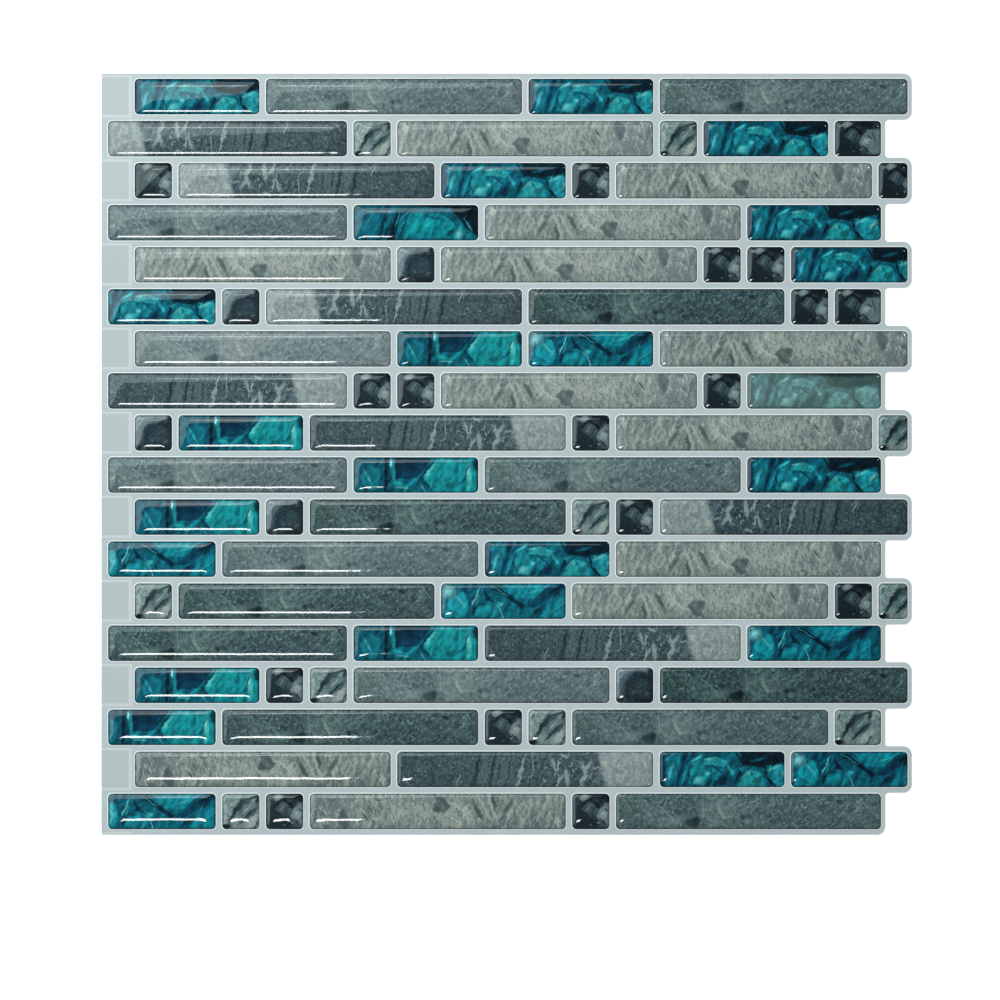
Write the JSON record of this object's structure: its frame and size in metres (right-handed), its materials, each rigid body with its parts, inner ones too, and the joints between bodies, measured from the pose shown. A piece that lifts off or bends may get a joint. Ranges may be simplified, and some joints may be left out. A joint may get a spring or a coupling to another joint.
{
  "type": "peel and stick backsplash tile",
  "caption": "Flat self-adhesive vinyl sheet with raised clear gel tiles printed as stone, teal glass and marble in staggered rows, with tabs along one side that overlap the next sheet.",
  "frame": {"origin": "Middle of the underside: the centre of the bounding box in X and Y, on the plane that the release liner rests on.", "axes": "+X runs along the rows towards the edge with the tabs, +Y points to the first row at the top of the printed face, +Z points out of the printed face, away from the wall."},
  "size_m": [0.3048, 0.2864, 0.0019],
  "materials": {
    "vinyl_film": "printed matt vinyl",
    "liner_paper": "smooth siliconed",
    "stone_print_gel": "clear resin over a stone print",
    "teal_glass_print_gel": "clear resin over a teal glass print",
    "marble_print_gel": "clear resin over a dark marble print"
  },
  "bodies": {
    "root": {"vinyl_film": "vinyl_film", "release_liner": "liner_paper", "row_01_stone_bars": "stone_print_gel", "row_01_teal_bars": "teal_glass_print_gel", "row_02_stone_bars": "stone_print_gel", "row_02_teal_bars": "teal_glass_print_gel", "row_02_marble_squares": "marble_print_gel", "row_03_stone_bars": "stone_print_gel", "row_03_teal_bars": "teal_glass_print_gel", "row_03_marble_squares": "marble_print_gel", "row_04_stone_bars": "stone_print_gel", "row_04_teal_bars": "teal_glass_print_gel", "row_05_stone_bars": "stone_print_gel", "row_05_teal_bars": "teal_glass_print_gel", "row_05_marble_squares": "marble_print_gel", "row_06_stone_bars": "stone_print_gel", "row_06_teal_bars": "teal_glass_print_gel", "row_06_marble_squares": "marble_print_gel", "row_07_stone_bars": "stone_print_gel", "row_07_teal_bars": "teal_glass_print_gel", "row_08_stone_bars": "stone_print_gel", "row_08_teal_bars": "teal_glass_print_gel", "row_08_marble_squares": "marble_print_gel", "row_09_stone_bars": "stone_print_gel", "row_09_teal_bars": "teal_glass_print_gel", "row_09_marble_squares": "marble_print_gel", "row_10_stone_bars": "stone_print_gel", "row_10_teal_bars": "teal_glass_print_gel", "row_11_stone_bars": "stone_print_gel", "row_11_teal_bars": "teal_glass_print_gel", "row_11_marble_squares": "marble_print_gel", "row_12_stone_bars": "stone_print_gel", "row_12_teal_bars": "teal_glass_print_gel", "row_13_stone_bars": "stone_print_gel", "row_13_teal_bars": "teal_glass_print_gel", "row_13_marble_squares": "marble_print_gel", "row_14_stone_bars": "stone_print_gel", "row_14_teal_bars": "teal_glass_print_gel", "row_15_stone_bars": "stone_print_gel", "row_15_teal_bars": "teal_glass_print_gel", "row_15_marble_squares": "marble_print_gel", "row_16_stone_bars": "stone_print_gel", "row_16_teal_bars": "teal_glass_print_gel", "row_16_marble_squares": "marble_print_gel", "row_17_stone_bars": "stone_print_gel", "row_17_teal_bars": "teal_glass_print_gel", "row_18_stone_bars": "stone_print_gel", "row_18_teal_bars": "teal_glass_print_gel", "row_18_marble_squares": "marble_print_gel"}
  },
  "joints": []
}
